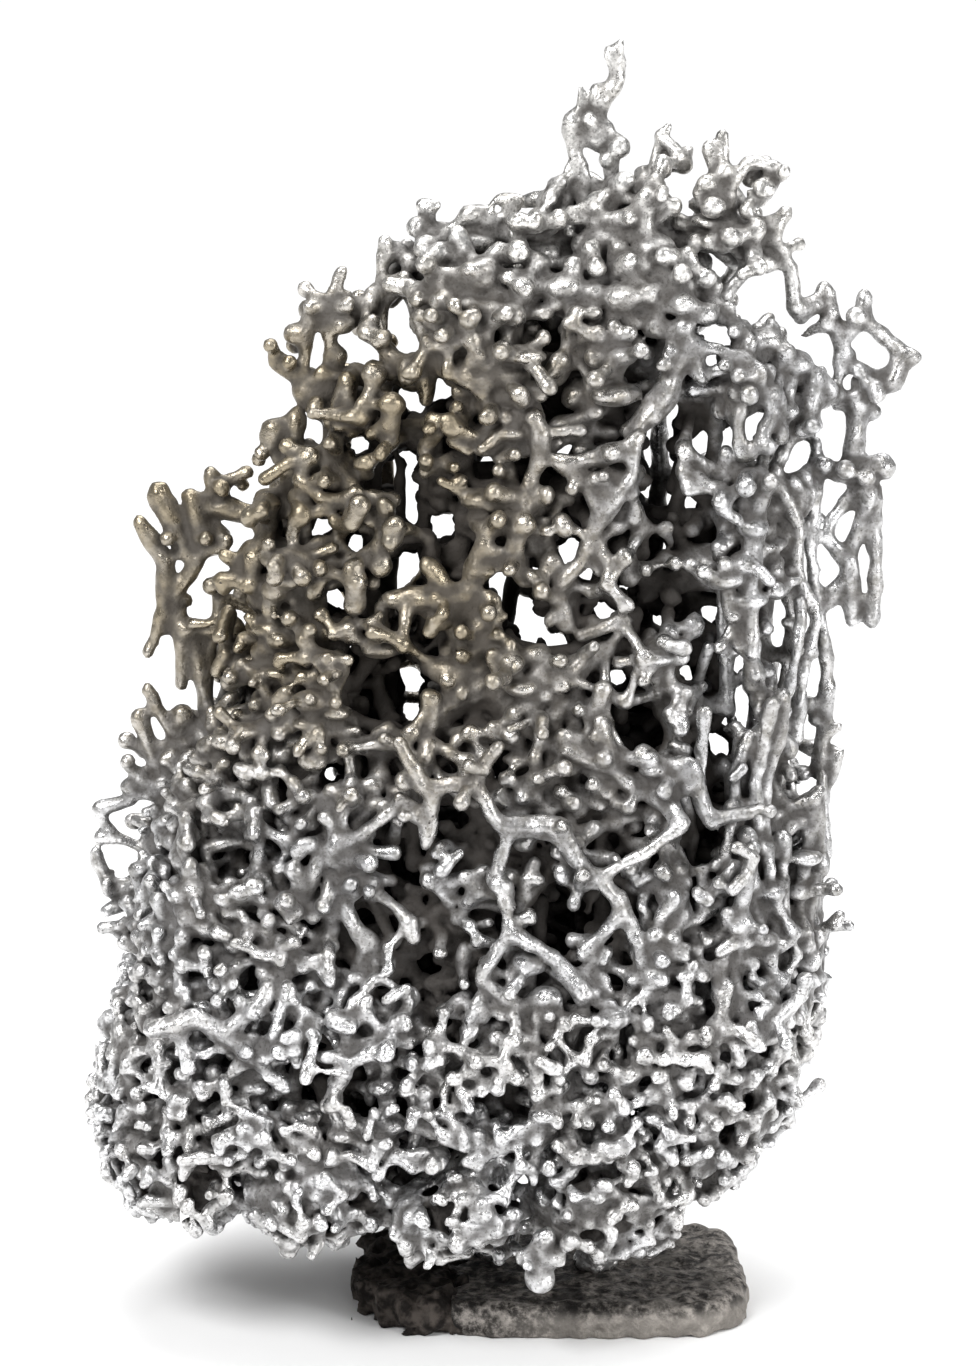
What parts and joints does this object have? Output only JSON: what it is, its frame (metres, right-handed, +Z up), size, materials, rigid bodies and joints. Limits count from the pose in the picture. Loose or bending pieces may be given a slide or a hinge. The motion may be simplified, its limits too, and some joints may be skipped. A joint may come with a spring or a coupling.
{
  "type": "ant nest casting",
  "caption": "Upright branching metal casting of an ant nest: thin shafts and flat chambers above dense knobbed clumps, standing on a thin flat slab.",
  "frame": {"origin": "centre of the slab's flat underside", "axes": "+Z up, +X to the right arm, -Y towards the viewer"},
  "size_m": [0.296, 0.156, 0.4512],
  "materials": {
    "pale": "as-cast, smooth and bright",
    "olive": "as-cast, stained warm olive brown",
    "grey": "as-cast, rough, pitted",
    "bluish": "as-cast, bright, pitted",
    "slab": "mottled, dirt-stained",
    "crust": "crusted with baked dirt"
  },
  "bodies": {
    "root": {"boat_chamber": "olive", "clump_back_1": "bluish", "clump_back_2": "bluish", "clump_back_3": "grey", "clump_back_4": "grey", "clump_front_1": "bluish", "clump_front_2": "bluish", "clump_front_3": "grey", "clump_front_4": "grey", "clump_front_5": "grey", "clump_middle_1": "bluish", "clump_middle_2": "bluish", "clump_middle_3": "grey", "clump_middle_4": "grey", "clump_middle_5": "grey", "crossed_branch": "pale", "crown_hook": "pale", "crown_right": "pale", "crown_shelf": "pale", "dark_chamber": "olive", "deep_shaft_1": "grey", "deep_shaft_2": "grey", "deep_shaft_3": "grey", "deep_shaft_4": "grey", "deep_shaft_5": "grey", "diagonal_limb": "pale", "drop_strut": "pale", "entry_neck_left": "grey", "entry_neck_right": "grey", "flat_loop": "olive", "forked_stem": "grey", "front_chain": "grey", "funnel_chamber": "pale", "funnel_chamber_left": "olive", "hanging_column": "bluish", "hood_chamber": "grey", "knuckle_chamber": "pale", "left_arm": "olive", "left_loops": "olive", "left_pale_node": "bluish", "left_sprig": "bluish", "left_web": "olive", "long_lip": "bluish", "outer_shaft": "grey", "paired_shafts": "grey", "pale_beam": "bluish", "pendant_balls": "pale", "pot_chamber": "grey", "pour_slab": "slab", "right_arm": "pale", "right_knob_beam": "grey", "right_ring_low": "grey", "ringed_chamber": "pale", "slab_crust": "crust", "spire": "pale", "star_chamber": "pale", "tee_head": "olive", "thin_mast": "olive", "upper_left_fingers": "olive", "upper_left_trunk": "olive"}
  },
  "joints": []
}
